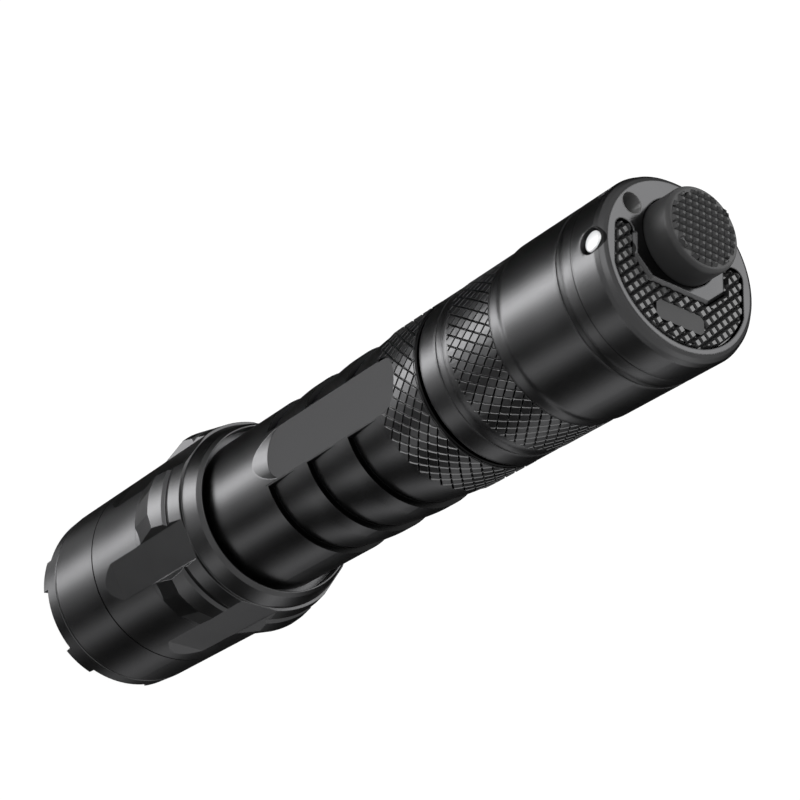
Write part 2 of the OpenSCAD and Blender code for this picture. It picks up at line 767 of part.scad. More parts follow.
module tail_cap() {
  color([0.08, 0.08, 0.085])
  rotate([0, 0, cap_turn_deg])
  difference() {
    rotate_extrude()
      polygon([
        [cap_screw_r, z_cap], [cap_skin_r - 0.25, z_cap], [cap_skin_r, z_cap + 0.25],
        [cap_skin_r, z_cap_step], [cap_skin_r - 0.12, z_cap_step], [cap_skin_r - 0.12, z_cap_land],
        [cap_skin_r, z_cap_land], [cap_skin_r, z_cap_knurl], [cap_skin_r - knurl_depth, z_cap_knurl],
        [cap_skin_r - knurl_depth, z_cap_knurl_end], [cap_skin_r, z_cap_knurl_end],
        [cap_skin_r, z_clamp - 1], [cap_r, z_clamp],
        [cap_r, z_tail_groove], [cap_r - tail_groove_d, z_tail_groove],
        [cap_r - tail_groove_d, z_tail_end], [cap_r, z_tail_end],
        [cap_r, z_tail - hairline_at - 0.12], [cap_r - 0.08, z_tail - hairline_at],
        [cap_r, z_tail - hairline_at + 0.12], [cap_r, z_tail - tail_edge_len],
        [cap_r - tail_edge_in * 0.2, z_tail - tail_edge_len * 0.55],
        [cap_r - tail_edge_in * 0.55, z_tail - tail_edge_len * 0.2],
        [cap_r - tail_edge_in, z_tail], [0, z_tail], [0, z_tail_wall],
        [cavity_r, z_tail_wall], [cavity_r, z_tail_board_top],
        [switch_board_r + seat, z_tail_board_top], [switch_board_r + seat, z_tube_end + 0.9],
        [cap_screw_r, z_tube_end + 0.9]
      ]);
    // Well of the power button
    translate([-button_at, 0, 0]) rod(well_r, z_tail_wall - 1, z_tail + 1);
    // Pocket of the mode paddle and the hole of its plunger
    crescent(0, z_pocket, z_tail + 1);
    pocket_edges();
    translate([mode_at, 0, 0]) rod(mode_pin_r + pin_gap, z_tail_wall - 1, z_pocket + 1);
    // Lanyard hole with its way out at the side
    rotate([0, 0, lanyard_deg]) {
      translate([lanyard_at, 0, 0]) rod(lanyard_r, z_tail - lanyard_depth, z_tail + 1);
      translate([lanyard_at, 0, z_tail - lanyard_depth + lanyard_side_r + 0.1])
        rotate([0, 90, 0]) cylinder(r = lanyard_side_r, h = 6);
    }
    // Seat of the indicator
    rotate([0, 0, indicator_deg])
      translate([indicator_in, 0, z_tail - indicator_depth])
        rotate([0, 90, 0]) {
          cylinder(r = indicator_r + seat, h = 6);
          translate([0, 0, cap_r - 0.45 - indicator_in])
            cylinder(r1 = indicator_r + seat, r2 = indicator_r + 0.5, h = 0.5);
        }
  }
}

indicator_in = pocket_half + 0.3;
indicator_chip_t = 0.5;

module tail_ring() {
  color([0.75, 0.62, 0.3])
  tube(switch_board_r, switch_board_r - 2.2, z_tail_board - tail_ring_len, z_tail_board);
}

module switch_board() {
  color([0.1, 0.3, 0.15])
  rod(switch_board_r, z_tail_board, z_tail_board_top);
}

module power_switch() {
  s = power_switch_side;
  color([0.15, 0.15, 0.16])
  rotate([0, 0, cap_turn_deg])
  translate([-button_at, 0, 0])
  difference() {
    translate([-s / 2, -s / 2, z_tail_board_top]) cube([s, s, switch_h]);
    rod(stem_r + fit, z_switch_top - stem_sunk - button_travel - fit, z_switch_top + 1);
  }
}

module power_stem() {
  color([0.85, 0.8, 0.7])
  rotate([0, 0, cap_turn_deg])
  translate([-button_at, 0, 0]) rod(stem_r, z_switch_top - stem_sunk, z_stem_top);
}

z_pin_top = z_tail - 0.5;
skirt_t = 1.6;
skirt_r = button_r + 0.55;

module power_plunger() {
  color([0.85, 0.85, 0.82])
  rotate([0, 0, cap_turn_deg])
  translate([-button_at, 0, 0])
  rod(power_pin_r, z_stem_top, z_pin_top);
}

module power_button() {
  top = z_tail + button_h;
  low = z_tail_wall - fit - skirt_t;
  k = button_round * 0.293;
  color([0.05, 0.05, 0.05])
  rotate([0, 0, cap_turn_deg])
  translate([-button_at, 0, 0])
  rotate_extrude()
    polygon([
      [power_pin_r + seat, low], [skirt_r, low], [skirt_r, low + skirt_t],
      [button_r, low + skirt_t], [button_r, top - button_round], [button_r - k, top - k],
      [button_r - button_round, top], [0, top], [0, z_pin_top], [power_pin_r + seat, z_pin_top]
    ]);
}

module mode_switch() {
  s = mode_switch_side;
  color([0.15, 0.15, 0.16])
  rotate([0, 0, cap_turn_deg])
  translate([mode_at, 0, 0])
  difference() {
    translate([-s / 2, -s / 2, z_tail_board_top]) cube([s, s, switch_h]);
    rod(mode_stem_r + fit, z_switch_top - stem_sunk - paddle_travel - fit, z_switch_top + 1);
  }
}

module mode_stem() {
  color([0.85, 0.8, 0.7])
  rotate([0, 0, cap_turn_deg])
  translate([mode_at, 0, 0]) rod(mode_stem_r, z_switch_top - stem_sunk, z_stem_top);
}

module mode_plunger() {
  color([0.85, 0.85, 0.82])
  rotate([0, 0, cap_turn_deg])
  translate([mode_at, 0, 0]) rod(mode_pin_r, z_stem_top, z_paddle);
}

module mode_paddle() {
  color([0.05, 0.05, 0.05])
  rotate([0, 0, cap_turn_deg])
  crescent(rubber_clear, z_paddle, z_paddle + paddle_t);
}

module indicator_lens() {
  color([0.95, 0.95, 0.95])
  rotate([0, 0, cap_turn_deg + indicator_deg])
  translate([indicator_in + indicator_chip_t, 0, z_tail - indicator_depth])
    rotate([0, 90, 0])
      cylinder(r = indicator_r, h = cap_r - indicator_sunk - indicator_in - indicator_chip_t);
}

module indicator_led() {
  color([0.9, 0.9, 0.6])
  rotate([0, 0, cap_turn_deg + indicator_deg])
  translate([indicator_in, -0.8, z_tail - indicator_depth - 0.6])
    cube([indicator_chip_t, 1.6, 1.2]);
}

bezel_ring();
lens();
lens_seal();
reflector();
centring_ring();
emitter();
emitter_dome();
emitter_board();
board_screws();
leads();
head_body();
driver_board();
driver_parts();
driver_ring();
head_spring();
head_seal();
body_tube();
cell();
cell_contact();
tail_seal();
tail_spring();
tail_cap();
tail_ring();
switch_board();
power_switch();
power_stem();
power_plunger();
power_button();
mode_switch();
mode_stem();
mode_plunger();
mode_paddle();
indicator_lens();
indicator_led();
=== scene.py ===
import math

import bmesh
import bpy
from mathutils import Matrix, Vector


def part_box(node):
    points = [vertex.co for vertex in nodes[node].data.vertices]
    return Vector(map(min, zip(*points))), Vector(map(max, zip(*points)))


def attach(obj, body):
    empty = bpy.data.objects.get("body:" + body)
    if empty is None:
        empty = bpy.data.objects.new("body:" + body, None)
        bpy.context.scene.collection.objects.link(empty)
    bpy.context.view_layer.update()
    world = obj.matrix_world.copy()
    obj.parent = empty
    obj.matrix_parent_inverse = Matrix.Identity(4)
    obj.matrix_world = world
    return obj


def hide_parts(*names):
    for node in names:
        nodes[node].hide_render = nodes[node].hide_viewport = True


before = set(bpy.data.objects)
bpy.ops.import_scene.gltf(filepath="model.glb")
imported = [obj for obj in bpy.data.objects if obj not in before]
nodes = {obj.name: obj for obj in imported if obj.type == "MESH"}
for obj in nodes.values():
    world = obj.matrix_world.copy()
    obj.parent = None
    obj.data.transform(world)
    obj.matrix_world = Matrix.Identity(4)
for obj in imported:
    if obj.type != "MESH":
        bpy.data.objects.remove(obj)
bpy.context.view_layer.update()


# Bezel ring: the toothed front ring of the head, turned from aluminium, blasted
# and hard-anodised black. It screws onto the head's spigot and holds the lens.
MM = 0.001


class Socket:
    """A node's output that takes part in sums and makes the next nodes of its tree."""

    def __init__(self, tree, output):
        self.tree, self.output = tree, output

    def make(self, kind, settings, sockets, out=0):
        made = self.tree.nodes.new(kind)
        for name, value in settings.items():
            setattr(made, name, value)
        for name, value in sockets.items():
            if isinstance(value, Socket):
                self.tree.links.new(value.output, made.inputs[name])
            else:
                made.inputs[name].default_value = value
        return Socket(self.tree, made.outputs[out])

    def sum(self, operation, first, second=0.0):
        return self.make("ShaderNodeMath", {"operation": operation}, {0: first, 1: second})

    def __add__(self, other):
        return self.sum("ADD", self, other)

    def __sub__(self, other):
        return self.sum("SUBTRACT", self, other)

    def __rsub__(self, other):
        return self.sum("SUBTRACT", other, self)

    def __mul__(self, other):
        return self.sum("MULTIPLY", self, other)

    def __pow__(self, other):
        return self.sum("POWER", self, other)

    def __gt__(self, other):
        return self.sum("GREATER_THAN", self, other)

    def __lt__(self, other):
        return self.sum("LESS_THAN", self, other)

    def __abs__(self):
        return self.sum("ABSOLUTE", self)

    __radd__ = __add__
    __rmul__ = __mul__

    def clamped(self):
        return self.make("ShaderNodeClamp", {}, {"Value": self})

    def axis(self, letter):
        return self.make("ShaderNodeSeparateXYZ", {}, {"Vector": self}, letter)

    def vector(self, operation, *others, out=0):
        sockets = dict(enumerate((self, *others)))
        return self.make("ShaderNodeVectorMath", {"operation": operation}, sockets, out)

    def level(self):
        """The part of a vector that lies across the lamp's axis."""
        return self.vector("MULTIPLY", (1, 1, 0))

    def length(self):
        return self.vector("LENGTH", out="Value")

    def dot(self, other):
        return self.vector("DOT_PRODUCT", other, out="Value")


def finish(name, **constants):
    """A new material with its plain settings, its shader node and the piece's own coordinates."""
    material = bpy.data.materials.new(name)
    material.use_nodes = True
    shader = material.node_tree.nodes["Principled BSDF"]
    for socket, value in constants.items():
        shader.inputs[socket.replace("_", " ")].default_value = value
    coords = material.node_tree.nodes.new("ShaderNodeTexCoord")
    return material, shader, Socket(material.node_tree, coords.outputs["Object"])


def feed(shader, **sockets):
    """Links what changes over a surface to the shader's sockets."""
    for name, value in sockets.items():
        value.tree.links.new(value.output, shader.inputs[name.replace("_", " ")])


def noise(at, size, detail=2.0):
    """Noise from 0 to 1 with grains of about that size."""
    return at.make("ShaderNodeTexNoise", {}, {"Vector": at, "Scale": 1 / size, "Detail": detail})


def tone(share, first, second):
    """A grey or colour between two, by a share from 0 to 1."""
    first, second = (c if isinstance(c, Socket) else (*c, 1) for c in (first, second))
    return share.make("ShaderNodeMix", {"data_type": "RGBA"}, {0: share, 6: first, 7: second}, 2)


def relief(height, depth, under=None):
    """Bumps of a height from 0 to 1 and a depth, on top of another normal if one is given."""
    sockets = {"Height": height, "Distance": depth, "Strength": 1.0}
    if under:
        sockets["Normal"] = under
    return height.make("ShaderNodeBump", {}, sockets)


def anodised(name, edge_round, dye_and_shade=None, wear=1.5, soft=None):
    """Blasted and hard-anodised aluminium: a fine grain, faint clouds, broken edges worn a little.
    The dye_and_shade marks, from 0 to 1, where the colour is darkened: dye in joints and
    painted shade in cuts, corners and recesses; soft gives a larger rounding and where it holds."""
    material, shader, at = finish(name, Metallic=1.0, Specular_Tint=(0.45, 0.45, 0.45, 1))
    grain = noise(at, 0.22 * MM)
    cloud = noise(at, 9 * MM, 4)
    rounded = at.make("ShaderNodeBevel", {"samples": 6}, {"Radius": edge_round})
    if soft:
        soft_round, soft_place = soft
        eased = at.make("ShaderNodeBevel", {"samples": 8}, {"Radius": soft_round})
        both = {0: soft_place(at), 4: rounded, 5: eased}
        rounded = at.make("ShaderNodeMix", {"data_type": "VECTOR"}, both, 1)
    face_way = at.make("ShaderNodeNewGeometry", {}, {}, "Normal")
    worn = ((1.0 - rounded.dot(face_way)) * wear * cloud).clamped()
    skin = tone(cloud, (0.042, 0.042, 0.043), (0.058, 0.058, 0.059))
    colour = tone(worn, skin, (0.10, 0.10, 0.102))
    # The given share darkens the colour to near black: dye in joints, painted shade in cuts and corners.
    if dye_and_shade:
        colour = tone(dye_and_shade(at), colour, (0.003, 0.003, 0.003))
    roughness = 0.31 + 0.08 * (cloud - 0.5) + 0.10 * (grain - 0.5)
    feed(shader, Base_Color=colour, Roughness=roughness, Normal=relief(grain, 0.007 * MM, rounded))
    return material, shader, at, colour, roughness


def dress(material, *names):
    """Gives CAD nodes a finish in place of their flat colour."""
    for name in names:
        nodes[name].data.materials.clear()
        nodes[name].data.materials.append(material)


bezel_joint, bezel_joint_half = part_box("bezel_ring")[1].z + 0.07 * MM, 0.17 * MM


def in_bezel_joint(at):
    """Dye in the joint between the bezel ring and the head."""
    return 0.9 * (abs(at.axis("Z") - bezel_joint) < bezel_joint_half)


black_anodise = anodised("black_anodise", 0.16 * MM, in_bezel_joint)[0]
dress(black_anodise, "bezel_ring")


# Lens: a flat disc of toughened glass with ground edges and a faint blue coating.
# It sits behind the bezel's lip and is pressed there by its seal.
def spun(bm, steps):
    """Spins an outline once round the lamp's axis and closes its seam and poles."""
    bmesh.ops.spin(
        bm, geom=bm.verts[:] + bm.edges[:], axis=(0, 0, 1), cent=(0, 0, 0),
        angle=math.tau, steps=steps, use_merge=True,
    )
    bmesh.ops.remove_doubles(bm, verts=bm.verts, dist=1e-7)
    bmesh.ops.recalc_face_normals(bm, faces=bm.faces)
    return bm


def lathe(outline, steps=128):
    """Turns a shape from the (radius, height) points of its outline."""
    bm = bmesh.new()
    points = [bm.verts.new((radius, 0, height)) for radius, height in outline]
    for pair in zip(points, points[1:]):
        bm.edges.new(pair)
    return spun(bm, steps)


def piece(name, bm, material, body, *stands_for, corner=35):
    """Makes a mesh piece that rides on a body, smooth but for edges sharper than the corner angle."""
    for face in bm.faces:
        face.smooth = True
    for edge in bm.edges:
        edge.smooth = len(edge.link_faces) == 2 and edge.calc_face_angle() < math.radians(corner)
    mesh = bpy.data.meshes.new(name)
    bm.to_mesh(mesh)
    bm.free()
    mesh.materials.append(material)
    made = bpy.data.objects.new(name, mesh)
    bpy.context.scene.collection.objects.link(made)
    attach(made, body)
    if stands_for:
        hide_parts(*stands_for)


low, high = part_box("lens")
lens_r, ground = high.x, 0.25 * MM
coated_glass, shader, at = finish("coated_glass", Transmission_Weight=1.0, IOR=1.52, Coat_Weight=0.4)
feed(
    shader, Base_Color=tone(noise(at, 12 * MM), (0.90, 0.95, 1.0), (0.95, 0.98, 1.0)),
    Roughness=0.01 + 0.02 * noise(at, 3 * MM),
)
disc = lathe([
    (0, low.z), (lens_r - ground, low.z), (lens_r, low.z + ground),
    (lens_r, high.z - ground), (lens_r - ground, high.z), (0, high.z),
])
piece("front_lens", disc, coated_glass, "lamp", "lens")


# Seals: three round cords of black nitrile rubber, behind the lens and in the
# grooves of the tube's two screwed ends. They are rolled into place.
def rubber(name, dark, light, rough, grain_size, gloss=0.3):
    """Moulded rubber with a fine grain and a faint bloom."""
    material, shader, at = finish(name, Specular_IOR_Level=gloss)
    grain = noise(at, grain_size, 3)
    bloom = noise(at, 4 * MM, 3)
    roughness = rough + 0.12 * (bloom - 0.5)
    feed(shader, Base_Color=tone(bloom, dark, light), Roughness=roughness, Normal=relief(grain, 0.01 * MM))
    return material, shader, at, roughness


def round_section(radius, out, height, sides):
    """The round section of a cord or wire, standing beside the lamp's axis."""
    bm = bmesh.new()
    place = Matrix.Translation((out, 0, height)) @ Matrix.Rotation(math.pi / 2, 4, "X")
    bmesh.ops.create_circle(bm, segments=sides, radius=radius, matrix=place)
    return bm


seal_rubber = rubber("seal_rubber", (0.012, 0.012, 0.012), (0.022, 0.022, 0.022), 0.42, 0.2 * MM)[0]
for name in ("lens_seal", "head_seal", "tail_seal"):
    low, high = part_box(name)
    cord_r = (high.z - low.z) / 2
    cord = spun(round_section(cord_r, high.x - cord_r, low.z + cord_r, 20), 120)
    piece(name + "_cord", cord, seal_rubber, "lamp", name)


# Reflector: a smooth aluminium bowl, vapour-coated, with a flat rim under the lens
# seal and a hole for the emitter. It is clamped between the seal and the centring ring.
low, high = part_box("reflector")
mouth_r, bowl_wall, emitter_hole_r, rim_w = high.x, 1.0 * MM, 3.3 * MM, 1.1 * MM
bowl_r, bowl_depth, bowl_steps = mouth_r - rim_w, high.z - low.z, 28


def bowl(share):
    """Radius of the bowl's parabola at a share of its depth from the small end."""
    return math.sqrt(emitter_hole_r ** 2 + (bowl_r ** 2 - emitter_hole_r ** 2) * share)


inside = [(bowl(i / bowl_steps), high.z - bowl_depth * i / bowl_steps) for i in range(bowl_steps + 1)]
outside = [(r + bowl_wall, max(z, low.z + bowl_wall)) for r, z in reversed(inside[:-2])]
mirror, shader, at = finish("vapour_mirror", Metallic=1.0)
feed(
    shader, Base_Color=tone(noise(at, 5 * MM), (0.86, 0.87, 0.89), (0.91, 0.92, 0.93)),
    Roughness=0.06 + 0.06 * noise(at, 2 * MM), Normal=relief(noise(at, 0.8 * MM), 0.004 * MM),
)
bowl_shell = lathe(inside + [(mouth_r, low.z), (mouth_r, low.z + bowl_wall)] + outside + [inside[0]])
piece("reflector_bowl", bowl_shell, mirror, "lamp", "reflector")


# Emitter: a square light chip under a clear silicone dome, on a round copper board.
# The white centring ring keeps it in the reflector's focus, and two screws hold the board.
chip_half = 1.55 * MM
chip, shader, at = finish("emitter_chip", Roughness=0.45)
on_chip = (abs(at.axis("X")) < chip_half) * (abs(at.axis("Y")) < chip_half)
feed(
    shader, Base_Color=tone(on_chip, (0.82, 0.81, 0.78), (0.86, 0.70, 0.10)),
    Normal=relief(noise(at, 0.1 * MM), 0.004 * MM),
)
dress(chip, "emitter")


def quarter_turns(steps):
    """(sine, cosine) pairs through a quarter of a circle."""
    turns = [i * math.pi / 2 / steps for i in range(steps + 1)]
    return [(math.sin(turn), math.cos(turn)) for turn in turns]


low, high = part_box("emitter_dome")
dome_r = high.x
silicone, shader, at = finish("clear_silicone", Transmission_Weight=1.0, IOR=1.41)
feed(
    shader, Base_Color=tone(noise(at, 2 * MM), (0.97, 0.96, 0.9), (1.0, 0.99, 0.95)),
    Roughness=0.03 + 0.04 * noise(at, 1 * MM),
)
dome_arc = [(dome_r * across, high.z - dome_r * along) for across, along in quarter_turns(16)]
piece("emitter_cover", lathe(dome_arc + [(0, high.z)], 64), silicone, "lamp", "emitter_dome")


def moulded(name, dark, light, rough):
    """Moulded nylon or glass-filled plastic with a faint mottle and a spark-eroded skin."""
    material, shader, at = finish(name)
    mottle = noise(at, 1.5 * MM, 3)
    feed(
        shader, Base_Color=tone(mottle, dark, light), Roughness=rough + 0.1 * (mottle - 0.5),
        Normal=relief(noise(at, 0.15 * MM), 0.006 * MM),
    )
    return material


def board(name, mask, track):
    """A printed board: solder mask with faintly raised tracks."""
    material, shader, at = finish(name)
    pattern = {"Vector": at, "Scale": 420.0, "Mortar Size": 0.03, "Mortar Smooth": 0.2}
    lanes = at.make("ShaderNodeTexBrick", {}, pattern, "Fac")
    feed(
        shader, Base_Color=tone(lanes, mask, track), Roughness=0.35 + 0.1 * noise(at, 2 * MM),
        Normal=relief(lanes, 0.02 * MM),
    )
    return material


def plated(name, dark, light, rough):
    """Plated metal with drawing lines and a little tarnish."""
    material, shader, at = finish(name, Metallic=1.0)
    tarnish = noise(at, 2.5 * MM, 4)
    lines = noise(at.make("ShaderNodeMapping", {}, {"Vector": at, "Scale": (1, 1, 9)}), 0.6 * MM)
    feed(
        shader, Base_Color=tone(tarnish, dark, light), Roughness=rough + 0.12 * (tarnish - 0.5),
        Normal=relief(lines, 0.004 * MM),
    )
    return material


white_nylon = moulded("white_nylon", (0.74, 0.73, 0.70), (0.82, 0.81, 0.78), 0.5)
dress(white_nylon, "centring_ring")
dress(board("white_copper_board", (0.72, 0.72, 0.70), (0.62, 0.40, 0.24)), "emitter_board")
dress(plated("bright_steel", (0.48, 0.48, 0.49), (0.60, 0.60, 0.61), 0.3), "board_screws")

lead_skin, shader, at = finish("lead_skin")
feed(
    shader, Base_Color=tone(at.axis("Y") > 0.0, (0.02, 0.02, 0.02), (0.42, 0.03, 0.025)),
    Roughness=0.4 + 0.1 * noise(at, 1 * MM),
)
dress(lead_skin, "leads")


# Head: one turned and milled aluminium body with six lobes, fins and a collar,
# anodised like the bezel. The tube screws into it from behind.
dress(black_anodise, "head_body")


# Driver: a round board with its chips, pressed into the head from behind and held
# there by a turned brass ring.
green_board = board("green_board", (0.02, 0.10, 0.04), (0.04, 0.16, 0.07))
black_epoxy = moulded("black_epoxy", (0.016, 0.016, 0.018), (0.03, 0.03, 0.032), 0.45)
ring_brass = plated("ring_brass", (0.60, 0.45, 0.19), (0.72, 0.56, 0.26), 0.32)
dress(green_board, "driver_board")
dress(black_epoxy, "driver_parts")
dress(ring_brass, "driver_ring")


# Springs: two coils of gold-plated wire, one behind the driver and one in the tail cap.
# The cell is held between them.
def coil(bm, turns, rise, steps_a_turn):
    """Sweeps a section round the lamp's axis along a screw line and closes its ends."""
    steps = round(turns * steps_a_turn)
    bmesh.ops.spin(
        bm, geom=bm.verts[:] + bm.edges[:], axis=(0, 0, 1), cent=(0, 0, 0),
        angle=math.tau * turns, steps=steps, dvec=(0, 0, rise / steps),
    )
    ends = [edge for edge in bm.edges if edge.is_boundary]
    bmesh.ops.holes_fill(bm, edges=ends, sides=0)
    bmesh.ops.recalc_face_normals(bm, faces=bm.faces)


wire_r, spring_turns = 0.45 * MM, 5
gold_plate = plated("gold_plate", (0.70, 0.52, 0.20), (0.82, 0.64, 0.28), 0.22)
for name, body in (("head_spring", "lamp"), ("tail_spring", "tail_contact")):
    low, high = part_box(name)
    wire = round_section(wire_r, high.x - wire_r, low.z + wire_r, 12)
    coil(wire, spring_turns, high.z - low.z - 2 * wire_r, 28)
    piece(name + "_wire", wire, gold_plate, body, name)


# Body tube: turned aluminium with three finger grooves, two milled side flats, a
# knurled grip and a screwed tail end. It is anodised black; the flats are duller and darker, and
# shade is painted on the groove walls beside the flats and in the run-outs at their front ends.
flat_at, flat_low, flat_high, flat_side = 11.65 * MM, 63 * MM, 97 * MM, 4.1 * MM
scoop_low, scoop_high, scoop_r = 60 * MM, 68 * MM, 12.28 * MM
# The scoops' painted shade is nil within scoop_clear of scoop_light across the tube and grows to full over
# scoop_fade.
scoop_light, scoop_clear, scoop_fade = -0.6 * MM, 0.7 * MM, 2.4 * MM
first_wall, wall_pitch, wall_half = 63.66 * MM, 10.17 * MM, 0.09 * MM
cap_joint, cap_joint_half = 101.35 * MM, 0.2 * MM


def on_flat(at):
    """1 on the side flats."""
    level = abs(abs(at.axis("Y")) - flat_at) < 0.02 * MM
    return level * (at.axis("Z") > flat_low) * (at.axis("Z") < flat_high)


def in_corner(at):
    """1 on the steep walls of the finger grooves, beside the flats."""
    first, second, third = (abs(at.axis("Z") - (first_wall + i * wall_pitch)) < wall_half for i in range(3))
    return (first + second + third) * (abs(at.axis("X")) > flat_side)


def scoop_shade(at):
    """Painted shade in the run-out at the flats' front ends, from 0 near its middle to 1 at its sides."""
    across = ((abs(at.axis("X") - scoop_light) - scoop_clear) * (1 / scoop_fade)).clamped()
    sunk = (at.level().length() < scoop_r) * (abs(at.axis("X")) < flat_side) * (1.0 - on_flat(at))
    return across * sunk * (at.axis("Z") > scoop_low) * (at.axis("Z") < scoop_high)


def tube_joint_and_shade(at):
    """Darker on the flats, painted shade on the groove walls beside them and in the scoops, and dye on the
    edge in the joint with the tail cap.
    """
    in_joint = abs(at.axis("Z") - cap_joint) < cap_joint_half
    return (0.55 * on_flat(at) + 0.95 * in_corner(at) + 0.85 * scoop_shade(at) + 0.9 * in_joint).clamped()


tube_anodise, shader, at, colour, roughness = anodised("black_anodise_tube", 0.12 * MM, tube_joint_and_shade)
feed(shader, Roughness=roughness + 0.2 * on_flat(at))
dress(tube_anodise, "body_tube")


# Grip knurl: a band of flat-topped diamonds rolled into the tube's tail end, with painted
# shade in its cuts and a painted highlight on the cut walls that lean back. The side flats are milled
# later, so it stops round their ends.
grip_low, grip_high, grip_starts, grip_lean, grip_shift = 92.0 * MM, 101.1 * MM, 40, 42, 3.4
knurl_crest, knurl_floor, shade_depth, grip_groove = 12.5 * MM, 12.27 * MM, 0.04 * MM, 0.32 * MM
flat_half, flat_end, end_sides, end_reach = 4.047 * MM, 96.5 * MM, 24, 1.2 * MM


def cut(bm, faces, point, out, clear=False):
    """Cuts faces along a plane, and clears what lies beyond it if asked."""
    corners = list(dict.fromkeys(vert for face in faces for vert in face.verts))
    edges = list(dict.fromkeys(edge for face in faces for edge in face.edges))
    bmesh.ops.bisect_plane(
        bm, geom=corners + edges + list(faces), dist=1e-7, plane_co=point, plane_no=out, clear_outer=clear
    )


def knurl(low, high, starts, lean, shift, groove):
    """A diamond knurl on a round band: two crossing sets of screw lines leave flat-topped diamonds.
    lean is the lines' angle to the axis, and shift turns the two sets, in degrees. One step of the
    grid along either line is half a pitch round the band and one rise along it."""
    pitch = math.tau * knurl_crest / starts
    rise = pitch / 2 / math.tan(math.radians(lean))
    rows = math.ceil((high - low) / rise) + 2
    size = starts + rows
    bm = bmesh.new()
    bmesh.ops.create_grid(bm, x_segments=size, y_segments=size, size=size / 2)
    slant = Matrix(((pitch / 2, pitch / 2, 0, 0), (-rise, rise, 0, 0), (0, 0, 1, 0), (0, 0, 0, 1)))
    bmesh.ops.transform(bm, matrix=slant, verts=bm.verts)
    half_way = math.pi * knurl_crest
    spare = [
        face for face in bm.faces
        if not -half_way < face.calc_center_median().x + pitch / 8 < half_way
        or abs(face.calc_center_median().y) > (high - low) / 2 + rise
    ]
    bmesh.ops.delete(bm, geom=spare, context="FACES")
    bmesh.ops.translate(bm, vec=(0, (low + high) / 2, 0), verts=bm.verts)
    for height, side in ((low, -1), (high, 1)):
        cut(bm, bm.faces, (0, height, 0), (0, side, 0), clear=True)
    bmesh.ops.inset_individual(
        bm, faces=bm.faces[:], thickness=groove / 2, depth=knurl_crest - knurl_floor, use_even_offset=True
    )
    for vert in bm.verts:
        turn = vert.co.x / knurl_crest + math.radians(shift)
        radius, height = knurl_floor + vert.co.z, vert.co.y
        vert.co = (radius * math.cos(turn), radius * math.sin(turn), height)
    bmesh.ops.remove_doubles(bm, verts=bm.verts, dist=2e-6)
    return bm


def leaning_back(at):
    """1 on the cuts' walls that lean back round the tube, which get less painted shade and a painted
    highlight.
    """
    normal = at.make("ShaderNodeTexCoord", {}, {}, "Normal")
    return normal.dot(at.vector("CROSS_PRODUCT", (0, 0, 1))) > 2 * MM


def shade_in_cuts(at):
    """Painted shade in the knurl's cuts, with less on the walls that lean back."""
    return (0.82 - 0.65 * leaning_back(at)) * (at.level().length() < knurl_crest - shade_depth)


knurl_anodise, shader, at, colour, roughness = anodised("black_anodise_knurl", 0.04 * MM, shade_in_cuts)
# The walls that lean back are painted a lighter grey: a painted highlight.
feed(shader, Base_Color=tone(leaning_back(at), colour, (0.16, 0.16, 0.162)))
grip = knurl(grip_low, grip_high, grip_starts, grip_lean, grip_shift, grip_groove)
end_centre = Vector((0, 0, flat_end - flat_half))
for side in (-1, 1):
    for i in range(end_sides):
        turn = math.pi * (i + 0.5) / end_sides
        out = Vector((math.cos(turn), 0, math.sin(turn)))
        on_line = end_centre + out * flat_half
        near = [
            face for face in grip.faces
            if face.calc_center_median().y * side > 0
            and abs((face.calc_center_median() - on_line).cross(out).y) < end_reach
        ]
        cut(grip, near, on_line, out)
    milled = []
    for face in grip.faces:
        middle = face.calc_center_median() - end_centre
        if middle.y * side > 0 and math.hypot(middle.x, max(0, middle.z)) < flat_half * 0.998:
            milled.append(face)
    bmesh.ops.delete(grip, geom=milled, context="FACES")
bmesh.ops.recalc_face_normals(grip, faces=grip.faces)
piece("grip_knurl", grip, knurl_anodise, "lamp", corner=20)


# Tail thread: a blunt thread cut into the tube's tail end and left bare of anodising, so
# that it carries the current. The tail cap screws onto it.
thread_low, thread_high, thread_core, lead = 105.4 * MM, 111.6 * MM, 10.66 * MM, 1.25 * MM
tooth_h, tooth_rise, tooth_top, tooth_foot = 0.3 * MM, 0.42 * MM, 0.62 * MM, 1.04 * MM
thread = bmesh.new()
tooth = [
    thread.verts.new((thread_core + out, 0, thread_low + up))
    for out, up in ((0, 0), (tooth_h, tooth_rise), (tooth_h, tooth_top), (0, tooth_foot))
]
for pair in zip(tooth, tooth[1:] + tooth[:1]):
    thread.edges.new(pair)
thread_rise = thread_high - thread_low - tooth_foot
coil(thread, thread_rise / lead, thread_rise, 96)
bare_thread = plated("bare_thread", (0.52, 0.52, 0.53), (0.62, 0.62, 0.63), 0.34)
piece("tail_thread", thread, bare_thread, "lamp", corner=30)


# Cell: a rechargeable cylinder in a plain shrink-wrapped sleeve with a nickel cap at
# its positive end. It slides into the tube between the two springs.
wrap, shader, at = finish("cell_wrap", Coat_Weight=0.3)
crease = noise(at, 3 * MM, 4)
feed(
    shader, Base_Color=tone(crease, (0.05, 0.07, 0.10), (0.07, 0.10, 0.14)),
    Roughness=0.3 + 0.15 * crease, Normal=relief(crease, 0.03 * MM),
)
dress(wrap, "cell")
dress(plated("nickel", (0.58, 0.57, 0.54), (0.68, 0.67, 0.64), 0.25), "cell_contact")


